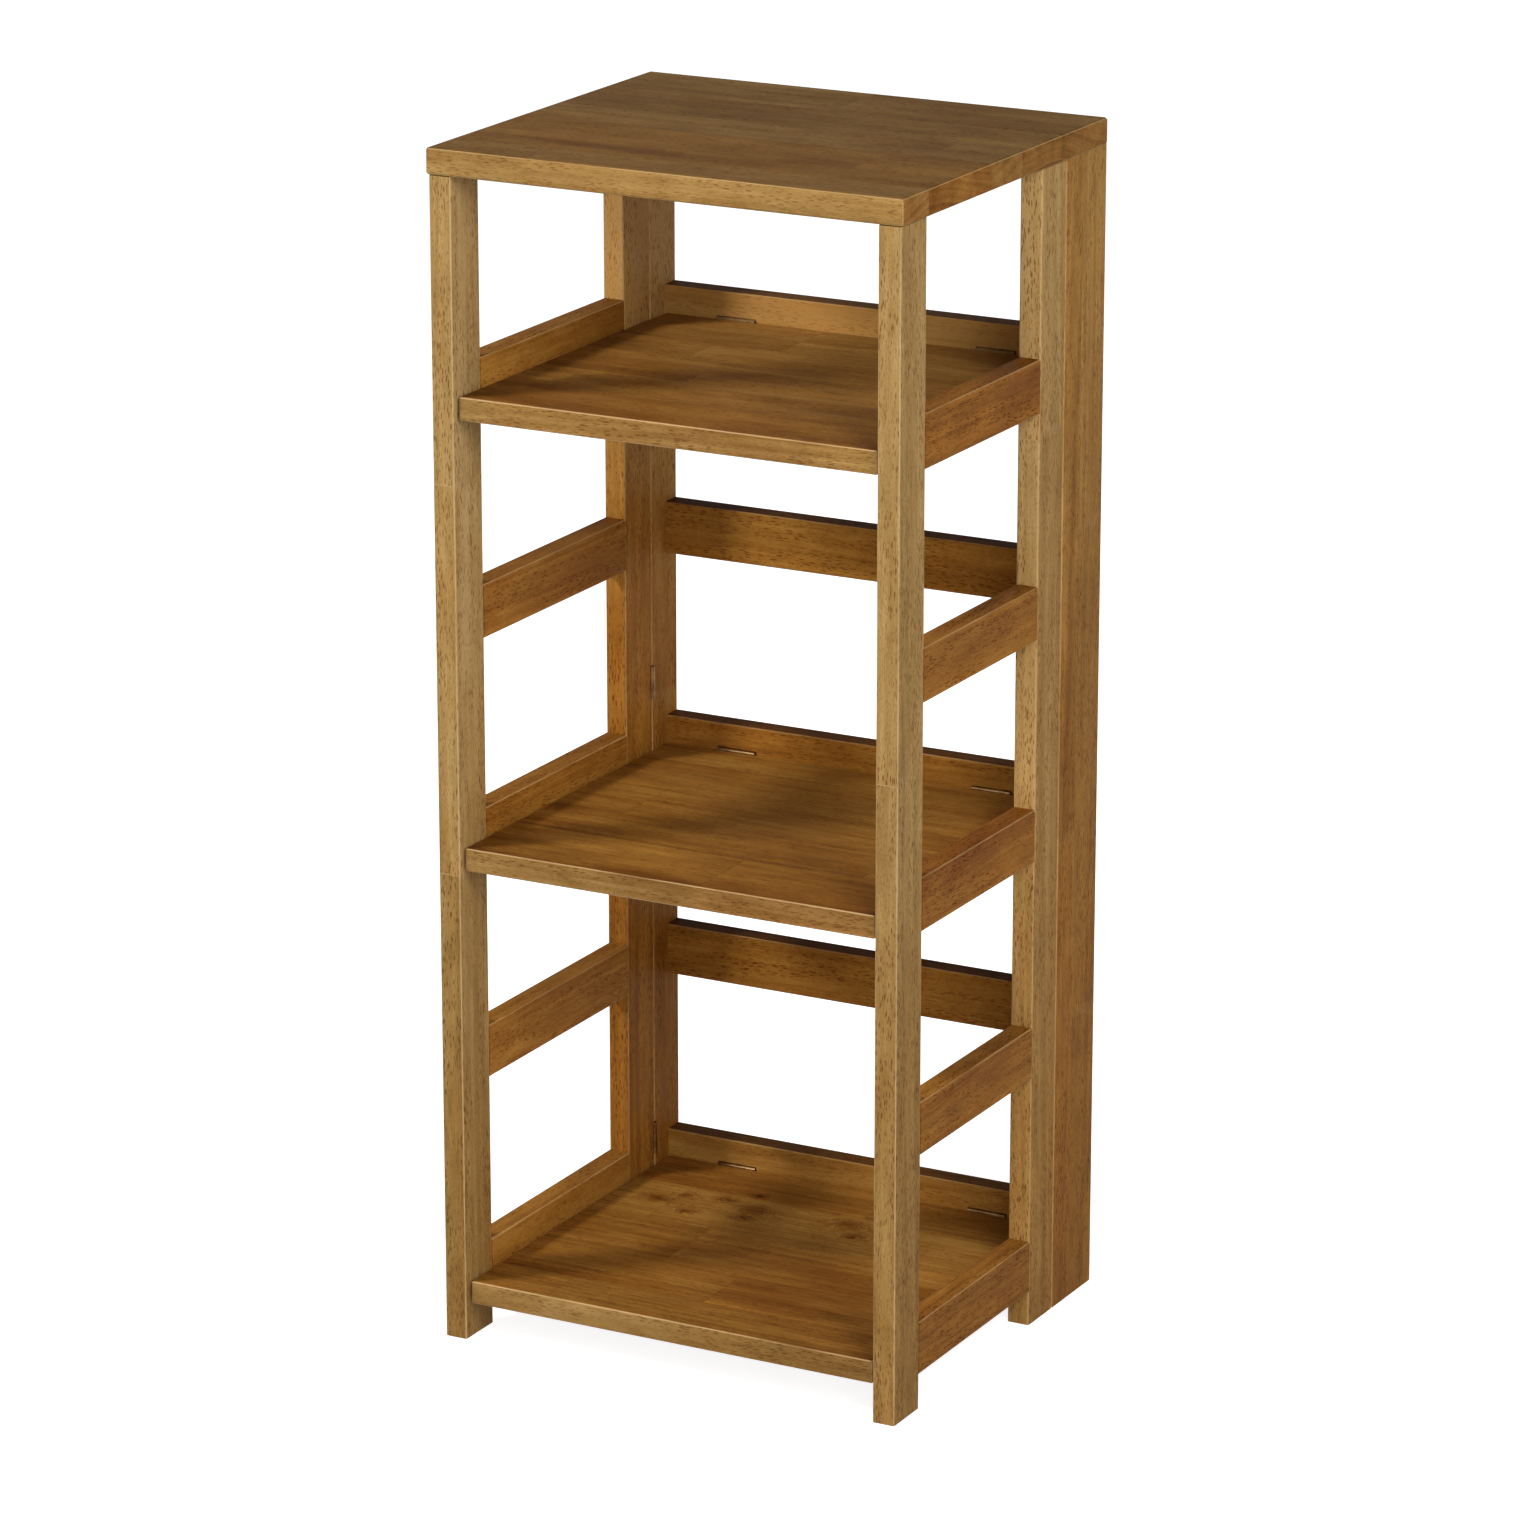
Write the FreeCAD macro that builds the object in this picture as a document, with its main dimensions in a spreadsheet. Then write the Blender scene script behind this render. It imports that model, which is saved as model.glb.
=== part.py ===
import FreeCAD, Part
import os
import Sketcher

# Folding bookcase: a back frame on the floor, two ladder side frames hinged to it,
# three shelves and a top hinged to its rails. Millimetres. The width runs along X,
# the back of the bookcase is at +Y, the floor is at Z = 0.

doc = FreeCAD.newDocument("folding_bookcase")

# ---------------------------------------------------------------- driving sizes

SIZES = {
    # frame, over the posts
    "post_height": 845,
    "frame_width": 360,
    "frame_depth": 316,
    "stock_thickness": 17,
    "post_depth": 38,
    "spacer_depth": 26.5,
    # rails: five levels in every frame, and one narrow rail that carries the top
    "rail_height": 39,
    "bottom_rail_top": 64,
    "rail_pitch": 162,
    "top_rail_height": 20,
    "edge_radius": 1.5,
    # shelves
    "shelf_drop": 20.5,
    "shelf_thickness": 17,
    "shelf_setback": 3.8,
    "shelf_side_gap": 2,
    # top
    "top_thickness": 19,
    "top_side_overhang": 2,
    "top_front_overhang": 1,
    "top_rear_inset": 3,
    "top_edge_radius": 2.5,
    "top_running_gap": 0.3,
    # butt hinges: long ones on the shelves and the top, short ones on the side frames
    "seam_gap": 0.6,
    "long_hinge_length": 31,
    "long_end_knuckle": 8,
    "short_hinge_length": 24,
    "short_end_knuckle": 7.8,
    "leaf_width": 12.5,
    "leaf_thickness": 1.2,
    "barrel_radius": 2,
    "barrel_gap": 0.3,
    "knuckle_gap": 0.2,
    "hinge_pin_radius": 1,
    "hinge_pin_gap": 0.05,
    "shelf_hinge_inset": 59,
    "top_hinge_inset": 59,
    "lower_side_hinge_rise": 20.5,
    "middle_side_hinge_rise": 51,
    "upper_side_hinge_rise": 122,
    # countersunk screws, two in each hinge leaf
    "screw_head_radius": 2.2,
    "screw_shank_radius": 1.1,
    "screw_length": 12,
    "screw_gap": 0.05,
    # dowels between rails and posts
    "dowel_radius": 3,
    "dowel_gap": 0.05,
    "dowel_end_gap": 1,
    "dowel_spacing": 18,
    "side_dowel_length": 40,
    "back_dowel_length": 30,
    "back_dowel_in_post": 12,
    # steel pins in the side rails that carry the front of each shelf
    "shelf_pin_radius": 3,
    "shelf_pin_in_rail": 10,
    "shelf_pin_reach": 8.5,
    "shelf_pin_drop": 12,
    "shelf_pin_past_dowel": 8,
    "pin_slot_gap": 0.8,
    "pin_slot_top_gap": 0.3,
    "pin_slot_end_gap": 2.5,
}

sheet = doc.addObject("Spreadsheet::Sheet", "Dims")
for row, (alias, value) in enumerate(SIZES.items(), start=1):
    sheet.set("A%d" % row, alias)
    sheet.set("B%d" % row, str(value))
    sheet.setAlias("B%d" % row, alias)
doc.recompute()

# ------------------------------------------------- places, as expressions of the sheet

LEVELS = 5
SHELF_LEVELS = {"upper": 1, "middle": 3, "lower": 5}

FRONT = "(-(Dims.frame_depth - Dims.top_front_overhang) / 2)"
BACK = f"({FRONT} + Dims.frame_depth)"
LEFT = "(-Dims.frame_width / 2)"
RIGHT = "(Dims.frame_width / 2)"
LEFT_INNER = f"({LEFT} + Dims.stock_thickness)"
RIGHT_INNER = f"({RIGHT} - Dims.stock_thickness)"
BACK_POST_FRONT = f"({BACK} - Dims.post_depth)"
SPACER_FRONT = f"({BACK_POST_FRONT} - Dims.spacer_depth)"
BACK_RAIL_FRONT = f"({BACK} - Dims.stock_thickness)"
SIDE_POST_TOP = "(Dims.post_height - Dims.top_running_gap)"
BARREL_CLEAR = "(Dims.barrel_radius + Dims.barrel_gap)"
LEAF_OUTER = "(Dims.seam_gap / 2 + Dims.leaf_thickness)"
SCREW_INSET = f"(({BARREL_CLEAR} + Dims.leaf_width) / 2)"

X_AXIS = FreeCAD.Vector(1, 0, 0)
Y_AXIS = FreeCAD.Vector(0, 1, 0)
Z_AXIS = FreeCAD.Vector(0, 0, 1)
NO_TURN = FreeCAD.Rotation()


def rail_top(level):
    return f"(Dims.bottom_rail_top + {LEVELS - level} * Dims.rail_pitch)"


def rail_bottom(level):
    return f"({rail_top(level)} - Dims.rail_height)"


def shelf_top(name):
    return f"({rail_top(SHELF_LEVELS[name])} - Dims.shelf_drop)"


# ------------------------------------------------------------------ building blocks

def place(item, spot, turn=NO_TURN):
    item.Placement = FreeCAD.Placement(FreeCAD.Vector(), turn)
    for axis, value in zip("xyz", spot):
        item.setExpression("Placement.Base." + axis, value)
    return item


def box(name, spot, size):
    item = doc.addObject("Part::Box", name)
    for side, value in zip(("Length", "Width", "Height"), size):
        item.setExpression(side, value)
    return place(item, spot)


def rod(name, spot, direction, radius, length):
    item = doc.addObject("Part::Cylinder", name)
    item.setExpression("Radius", radius)
    item.setExpression("Height", length)
    return place(item, spot, FreeCAD.Rotation(Z_AXIS, direction))


def cone(name, spot, direction, near_radius, far_radius, length):
    item = doc.addObject("Part::Cone", name)
    item.setExpression("Radius1", near_radius)
    item.setExpression("Radius2", far_radius)
    item.setExpression("Height", length)
    return place(item, spot, FreeCAD.Rotation(Z_AXIS, direction))


def fuse(name, members):
    item = doc.addObject("Part::MultiFuse", name)
    item.Shapes = members
    item.Refine = True
    return item


def cut(name, base, tool):
    item = doc.addObject("Part::Cut", name)
    item.Base = base
    item.Tool = tool
    return item


def group(name, members):
    item = doc.addObject("Part::Compound", name)
    item.Links = members
    return item


def copy_of(master, name, spot, turn):
    return place(group(name, [master]), spot, turn)


def edges_along(shape, direction, glued):
    """Names of the edges in a direction, without those of a glued face."""
    glued_y = {"front": shape.BoundBox.YMin, "rear": shape.BoundBox.YMax}.get(glued)
    names = []
    for number, edge in enumerate(shape.Edges, start=1):
        run = edge.Vertexes[-1].Point - edge.Vertexes[0].Point
        on_glued_face = glued is not None and abs(edge.CenterOfMass.y - glued_y) < 1e-6
        if run.cross(direction).Length < 1e-6 and not on_glued_face:
            names.append("Edge%d" % number)
    return names


def board(name, spot, size, grain=None, radius="Dims.edge_radius", glued=None):
    """A planed board: sketched outline, padded, with eased edges.

    Edges along the grain are eased, or every edge where no grain is given. The front or rear
    face that is glued flush to another board keeps its edges square.
    """
    body = doc.addObject("PartDesign::Body", name + "_blank")
    plane = next(o for o in body.Origin.OriginFeatures if o.Role == "XY_Plane")
    outline = body.newObject("Sketcher::SketchObject", name + "_outline")
    outline.AttachmentSupport = [(plane, "")]
    outline.MapMode = "FlatFace"
    corners = [(0, 0), (10, 0), (10, 10), (0, 10)]
    for start, end in zip(corners, corners[1:] + corners[:1]):
        points = [FreeCAD.Vector(x, y, 0) for x, y in (start, end)]
        outline.addGeometry(Part.LineSegment(*points), False)
    for line in range(4):
        outline.addConstraint(Sketcher.Constraint("Coincident", line, 2, (line + 1) % 4, 1))
    for line, kind in enumerate(("Horizontal", "Vertical", "Horizontal", "Vertical")):
        outline.addConstraint(Sketcher.Constraint(kind, line))
    outline.addConstraint(Sketcher.Constraint("Coincident", 0, 1, -1, 1))
    wide = outline.addConstraint(Sketcher.Constraint("DistanceX", 0, 1, 0, 2, 10))
    deep = outline.addConstraint(Sketcher.Constraint("DistanceY", 1, 1, 1, 2, 10))
    outline.renameConstraint(wide, "wide")
    outline.renameConstraint(deep, "deep")
    outline.setExpression("Constraints.wide", size[0])
    outline.setExpression("Constraints.deep", size[1])
    pad = body.newObject("PartDesign::Pad", name + "_pad")
    pad.Profile = outline
    pad.setExpression("Length", size[2])
    doc.recompute()
    if grain is None:
        eased = ["Edge%d" % (n + 1) for n in range(len(pad.Shape.Edges))]
    else:
        eased = edges_along(pad.Shape, grain, glued)
    fillet = body.newObject("PartDesign::Fillet", name + "_eased")
    fillet.Base = (pad, eased)
    fillet.setExpression("Radius", radius)
    outline.Visibility = False
    return place(body, spot)


# blanks holds every wooden piece before it is drilled and let in, cutters the tools for it
blanks = {}
cutters = {}
nodes = []


def add_cutter(piece, tool):
    cutters.setdefault(piece, []).append(tool)


def finish_node(label, item):
    item.Label = label
    nodes.append(item)
    return item


# ------------------------------------------------------------------- wooden pieces

def back_frame():
    post = ("Dims.stock_thickness", "Dims.post_depth", "Dims.post_height")
    blanks["back_post_left"] = board("back_post_left", (LEFT, BACK_POST_FRONT, "0"), post, Z_AXIS)
    blanks["back_post_right"] = board(
        "back_post_right", (RIGHT_INNER, BACK_POST_FRONT, "0"), post, Z_AXIS, glued="front")
    blanks["back_spacer_right"] = board(
        "back_spacer_right", (RIGHT_INNER, SPACER_FRONT, "0"),
        ("Dims.stock_thickness", "Dims.spacer_depth", "Dims.post_height"), Z_AXIS, glued="rear")
    span = f"({RIGHT_INNER} - {LEFT_INNER})"
    for level in range(1, LEVELS + 1):
        name = "back_rail_%d" % level
        blanks[name] = board(
            name, (LEFT_INNER, BACK_RAIL_FRONT, rail_bottom(level)),
            (span, "Dims.stock_thickness", "Dims.rail_height"), X_AXIS)
    blanks["back_top_rail"] = board(
        "back_top_rail", (LEFT_INNER, BACK_RAIL_FRONT, "Dims.post_height - Dims.top_rail_height"),
        (span, "Dims.stock_thickness", "Dims.top_rail_height"), X_AXIS)


def side_frame(side, outer_x, joint_y):
    """A ladder frame from the front post to the seam in front of joint_y."""
    rear_post_y = f"({joint_y} - Dims.seam_gap - Dims.post_depth)"
    post = ("Dims.stock_thickness", "Dims.post_depth", SIDE_POST_TOP)
    for name, y in ((side + "_front_post", FRONT), (side + "_rear_post", rear_post_y)):
        blanks[name] = board(name, (outer_x, y, "0"), post, Z_AXIS)
    rail_start = f"({FRONT} + Dims.post_depth)"
    for level in range(1, LEVELS + 1):
        name = "%s_rail_%d" % (side, level)
        blanks[name] = board(
            name, (outer_x, rail_start, rail_bottom(level)),
            ("Dims.stock_thickness", f"({rear_post_y} - {rail_start})", "Dims.rail_height"), Y_AXIS)
    return rear_post_y


def shelves():
    for name in SHELF_LEVELS:
        label = name + "_shelf"
        blanks[label] = board(
            label,
            (f"{LEFT_INNER} + Dims.shelf_side_gap", f"{FRONT} + Dims.shelf_setback",
             f"{shelf_top(name)} - Dims.shelf_thickness"),
            (f"{RIGHT_INNER} - {LEFT_INNER} - 2 * Dims.shelf_side_gap",
             f"{BACK_RAIL_FRONT} - {FRONT} - Dims.seam_gap - Dims.shelf_setback",
             "Dims.shelf_thickness"))


def top_panel():
    blanks["top_panel"] = board(
        "top_panel",
        (f"{LEFT} - Dims.top_side_overhang", f"{FRONT} - Dims.top_front_overhang",
         "Dims.post_height"),
        ("Dims.frame_width + 2 * Dims.top_side_overhang",
         "Dims.frame_depth + Dims.top_front_overhang - Dims.top_rear_inset",
         "Dims.top_thickness"),
        radius="Dims.top_edge_radius")


back_frame()
left_rear_post_y = side_frame("left", LEFT, BACK_POST_FRONT)
right_rear_post_y = side_frame("right", RIGHT_INNER, SPACER_FRONT)
shelves()
top_panel()


# -------------------------------------------------------------------------- dowels

def dowel(name, spot, direction, length, pieces):
    """One dowel, and one clearance hole for it through both pieces it joins."""
    peg = rod(name, spot, direction, "Dims.dowel_radius", length)
    hole_spot = []
    for value, part in zip(spot, direction):
        hole_spot.append(f"({value}) - Dims.dowel_end_gap" if part else value)
    hole = rod(name + "_hole", hole_spot, direction, "Dims.dowel_radius + Dims.dowel_gap",
               f"{length} + 2 * Dims.dowel_end_gap")
    for piece in pieces:
        add_cutter(piece, hole)
    return peg


def side_dowels(side, rear_post_y):
    middle_x = f"{LEFT if side == 'left' else RIGHT_INNER} + Dims.stock_thickness / 2"
    joints = {
        "front": f"{FRONT} + Dims.post_depth - Dims.side_dowel_length / 2",
        "rear": f"{rear_post_y} - Dims.side_dowel_length / 2",
    }
    pegs = []
    for level in range(1, LEVELS + 1):
        for end, y in joints.items():
            for row, sign in (("low", "-"), ("high", "+")):
                z = f"{rail_bottom(level)} + Dims.rail_height / 2 {sign} Dims.dowel_spacing / 2"
                pegs.append(dowel(
                    "%s_dowel_%d_%s_%s" % (side, level, end, row), (middle_x, y, z), Y_AXIS,
                    "Dims.side_dowel_length",
                    ("%s_rail_%d" % (side, level), "%s_%s_post" % (side, end))))
    finish_node(side + "_frame_dowels", group(side + "_frame_dowel_group", pegs))


def back_dowels():
    y = f"{BACK} - Dims.stock_thickness / 2"
    joints = {
        "left": f"{LEFT_INNER} - Dims.back_dowel_in_post",
        "right": f"{RIGHT_INNER} + Dims.back_dowel_in_post - Dims.back_dowel_length",
    }
    heights = {("back_top_rail", "mid"): "Dims.post_height - Dims.top_rail_height / 2"}
    for level in range(1, LEVELS + 1):
        middle = f"{rail_bottom(level)} + Dims.rail_height / 2"
        heights["back_rail_%d" % level, "low"] = f"{middle} - Dims.dowel_spacing / 2"
        heights["back_rail_%d" % level, "high"] = f"{middle} + Dims.dowel_spacing / 2"
    pegs = []
    for (rail, row), z in heights.items():
        for end, x in joints.items():
            pegs.append(dowel("%s_dowel_%s_%s" % (rail, end, row), (x, y, z), X_AXIS,
                              "Dims.back_dowel_length", (rail, "back_post_" + end)))
    finish_node("back_frame_dowels", group("back_frame_dowel_group", pegs))


side_dowels("left", left_rear_post_y)
side_dowels("right", right_rear_post_y)
back_dowels()


# ------------------------------------------------------------- shelf support pins

def shelf_pins(side):
    """Steel pins in the side rails, each under a slot in the edge of a shelf."""
    if side == "left":
        start_x = f"{LEFT_INNER} - Dims.shelf_pin_in_rail"
        hole_x = f"{start_x} - Dims.dowel_end_gap"
        slot_x = LEFT_INNER
    else:
        start_x = f"{RIGHT_INNER} - Dims.shelf_pin_reach"
        hole_x = start_x
        slot_x = f"{RIGHT_INNER} - Dims.shelf_pin_reach - Dims.pin_slot_end_gap"
    y = (f"{FRONT} + Dims.post_depth + Dims.side_dowel_length / 2"
         " + Dims.shelf_pin_past_dowel")
    length = "Dims.shelf_pin_in_rail + Dims.shelf_pin_reach"
    half_slot = "(Dims.shelf_pin_radius + Dims.pin_slot_gap)"
    pins = []
    for name, level in SHELF_LEVELS.items():
        label = "%s_%s_shelf_pin" % (side, name)
        z = f"{shelf_top(name)} - Dims.shelf_pin_drop"
        pins.append(rod(label, (start_x, y, z), X_AXIS, "Dims.shelf_pin_radius", length))
        add_cutter("%s_rail_%d" % (side, level), rod(
            label + "_hole", (hole_x, y, z), X_AXIS, "Dims.shelf_pin_radius + Dims.dowel_gap",
            f"{length} + Dims.dowel_end_gap"))
        low = f"({shelf_top(name)} - Dims.shelf_thickness - Dims.pin_slot_end_gap)"
        high = f"({z} + Dims.shelf_pin_radius + Dims.pin_slot_top_gap)"
        add_cutter(name + "_shelf", box(
            label + "_slot", (slot_x, f"{y} - {half_slot}", low),
            ("Dims.shelf_pin_reach + Dims.pin_slot_end_gap", f"2 * {half_slot}",
             f"{high} - {low}")))
    finish_node(side + "_shelf_pins", group(side + "_shelf_pin_group", pins))


shelf_pins("left")
shelf_pins("right")


# ------------------------------------------------------------------ hinge hardware
# Every hinge is drawn once about its own pin: the pin along Z, both leaves toward -X,
# the fixed leaf on the -Y side of the seam and the moving leaf on the +Y side.

NO_GAP = "0"
SCREW_GAP = "Dims.screw_gap"


def screws(name, length, side, gap):
    """The two countersunk screws of one leaf; side is -1 for the fixed leaf, 1 for the moving."""
    parts = []
    for row, sign in (("low", "-"), ("high", "+")):
        z = f"{sign} {length} / 4"
        away = FreeCAD.Vector(0, side, 0)
        head = cone("%s_head_%s" % (name, row), (f"-{SCREW_INSET}", f"{side} * Dims.seam_gap / 2", z),
                    away, f"Dims.screw_head_radius + {gap}", f"Dims.screw_shank_radius + {gap}",
                    "Dims.leaf_thickness")
        shank = rod("%s_shank_%s" % (name, row), (f"-{SCREW_INSET}", f"{side} * {LEAF_OUTER}", z),
                    away, f"Dims.screw_shank_radius + {gap}", f"Dims.screw_length + {gap}")
        parts.append(fuse("%s_%s" % (name, row), [head, shank]))
    return group(name, parts)


def leaf(name, length, side, knuckles, screw_holes):
    plate_y = "Dims.seam_gap / 2" if side > 0 else f"-{LEAF_OUTER}"
    parts = [box(name + "_plate", ("-Dims.leaf_width", plate_y, f"-{length} / 2"),
                 (f"Dims.leaf_width - {BARREL_CLEAR}", "Dims.leaf_thickness", length))]
    for number, (start, run) in enumerate(knuckles, start=1):
        parts.append(box("%s_tab_%d" % (name, number), (f"-{BARREL_CLEAR}", plate_y, start),
                         (BARREL_CLEAR, "Dims.leaf_thickness", run)))
        parts.append(rod("%s_knuckle_%d" % (name, number), ("0", "0", start), Z_AXIS,
                         "Dims.barrel_radius", run))
    bore = rod(name + "_bore", ("0", "0", f"-{length} / 2 - Dims.knuckle_gap"), Z_AXIS,
               "Dims.hinge_pin_radius + Dims.hinge_pin_gap", f"{length} + 2 * Dims.knuckle_gap")
    return cut(name, fuse(name + "_solid", parts), group(name + "_holes", [bore, screw_holes]))


def mortise(name, length, holes):
    """What the wood on both sides of a seam loses to let one hinge in."""
    seat = box(name + "_seat", ("-Dims.leaf_width", f"-{LEAF_OUTER}", f"-{length} / 2"),
               ("Dims.leaf_width", f"2 * {LEAF_OUTER}", length))
    barrel = rod(name + "_barrel", ("0", "0", f"-{length} / 2 - Dims.barrel_gap"), Z_AXIS,
                 BARREL_CLEAR, f"{length} + 2 * Dims.barrel_gap")
    return fuse(name, [seat, barrel] + holes)


def hinge_pattern(size):
    """The pieces of one size of hinge: the fixed leaf has the end knuckles."""
    length = f"Dims.{size}_hinge_length"
    end = f"Dims.{size}_end_knuckle"
    middle = f"({length} - 2 * {end} - 2 * Dims.knuckle_gap)"
    fixed_knuckles = ((f"-{length} / 2", end), (f"{length} / 2 - {end}", end))
    moving_knuckles = ((f"-{middle} / 2", middle),)
    fixed_holes = screws(size + "_fixed_screw_holes", length, -1, SCREW_GAP)
    moving_holes = screws(size + "_moving_screw_holes", length, 1, SCREW_GAP)
    return {
        "fixed_leaf": leaf(size + "_fixed_leaf", length, -1, fixed_knuckles, fixed_holes),
        "moving_leaf": leaf(size + "_moving_leaf", length, 1, moving_knuckles, moving_holes),
        "fixed_screws": screws(size + "_fixed_screws", length, -1, NO_GAP),
        "moving_screws": screws(size + "_moving_screws", length, 1, NO_GAP),
        "pin": rod(size + "_pin", ("0", "0", f"-{length} / 2"), Z_AXIS,
                   "Dims.hinge_pin_radius", length),
        "mortise": mortise(size + "_mortise", length, [fixed_holes, moving_holes]),
    }


LONG_HINGE = hinge_pattern("long")
SHORT_HINGE = hinge_pattern("short")

# turns that take the hinge's own X, Y and Z to where each kind of hinge needs them
SHELF_TURN = FreeCAD.Rotation(Z_AXIS, -Y_AXIS, X_AXIS, "XYZ")
TOP_TURN = FreeCAD.Rotation(Y_AXIS, Z_AXIS, X_AXIS, "XYZ")
LEFT_TURN = FreeCAD.Rotation(X_AXIS, -Y_AXIS, -Z_AXIS, "XYZ")
RIGHT_TURN = FreeCAD.Rotation(-X_AXIS, -Y_AXIS, Z_AXIS, "XYZ")

pins = []
fixed_screws = []


def hinges(name, pattern, spots, turn, fixed_piece, moving_piece):
    made = {piece: [] for piece in pattern}
    for number, spot in enumerate(spots, start=1):
        for piece, master in pattern.items():
            tag = "%s_hinge_%d_%s" % (name, number, piece)
            made[piece].append(copy_of(master, tag, spot, turn))
    pins.extend(made["pin"])
    fixed_screws.extend(made["fixed_screws"])
    for piece in (fixed_piece, moving_piece):
        cutters.setdefault(piece, []).extend(made["mortise"])
    for piece, label in (("fixed_leaf", "fixed_leaves"), ("moving_leaf", "moving_leaves"),
                         ("moving_screws", "screws")):
        finish_node("%s_hinge_%s" % (name, label),
                    group("%s_%s_group" % (name, piece), made[piece]))


def pair_across(inset, y, z):
    return [(f"{LEFT_INNER} + {inset}", y, z), (f"{RIGHT_INNER} - {inset}", y, z)]


def side_hinge_spots(x, joint_y):
    y = f"{joint_y} - Dims.seam_gap / 2"
    return [(x, y, f"{shelf_top(name)} + Dims.{name}_side_hinge_rise") for name in SHELF_LEVELS]


for shelf, level in SHELF_LEVELS.items():
    hinges(shelf + "_shelf", LONG_HINGE,
           pair_across("Dims.shelf_hinge_inset", f"{BACK_RAIL_FRONT} - Dims.seam_gap / 2",
                       shelf_top(shelf)),
           SHELF_TURN, "back_rail_%d" % level, shelf + "_shelf")
hinges("top", LONG_HINGE,
       pair_across("Dims.top_hinge_inset", f"{BACK} - {BARREL_CLEAR}", "Dims.post_height"),
       TOP_TURN, "back_top_rail", "top_panel")
hinges("left_side", SHORT_HINGE, side_hinge_spots(LEFT_INNER, BACK_POST_FRONT), LEFT_TURN,
       "back_post_left", "left_rear_post")
hinges("right_side", SHORT_HINGE, side_hinge_spots(RIGHT_INNER, SPACER_FRONT), RIGHT_TURN,
       "back_spacer_right", "right_rear_post")
finish_node("hinge_pins", group("hinge_pin_group", pins))
finish_node("back_frame_hinge_screws", group("back_frame_screw_group", fixed_screws))

# ----------------------------------------------------------- drill, check and export

for label, blank in blanks.items():
    if label in cutters:
        finish_node(label, cut(label + "_cut", blank, group(label + "_cutters", cutters[label])))
    else:
        finish_node(label, blank)
doc.recompute()

for item in doc.Objects:
    if "Invalid" in item.State or "Error" in item.State:
        raise RuntimeError("object failed: " + item.Name)

os.makedirs("parts", exist_ok=True)
for item in nodes:
    if item.Shape.isNull() or not item.Shape.isValid():
        raise RuntimeError("bad shape: " + item.Label)
    item.Shape.exportStep("parts/%s.step" % item.Label)
print("nodes", len(nodes))
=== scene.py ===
"""A folding bookcase of stained rubberwood: materials, camera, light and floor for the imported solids."""

import math
import random

import bpy
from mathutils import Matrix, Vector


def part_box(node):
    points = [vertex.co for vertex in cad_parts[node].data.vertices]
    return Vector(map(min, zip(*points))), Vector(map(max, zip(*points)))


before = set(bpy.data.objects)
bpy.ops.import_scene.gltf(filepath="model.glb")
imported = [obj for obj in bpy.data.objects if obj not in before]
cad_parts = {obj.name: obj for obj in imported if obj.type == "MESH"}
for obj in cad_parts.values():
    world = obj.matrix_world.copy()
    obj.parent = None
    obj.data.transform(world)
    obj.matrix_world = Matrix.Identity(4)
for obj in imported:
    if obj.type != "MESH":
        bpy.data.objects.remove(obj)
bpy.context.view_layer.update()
scene = bpy.context.scene


# ---------------------------------------------------------------- short calls for building node trees


def colour(red, green, blue):
    """A colour as a screen shows it, 0 to 255, in the linear numbers that nodes take."""
    linear = []
    for part in (red / 255, green / 255, blue / 255):
        linear.append(part / 12.92 if part <= 0.04045 else ((part + 0.055) / 1.055) ** 2.4)
    return (*linear, 1.0)


def grey(level):
    return (level, level, level, 1.0)


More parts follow.
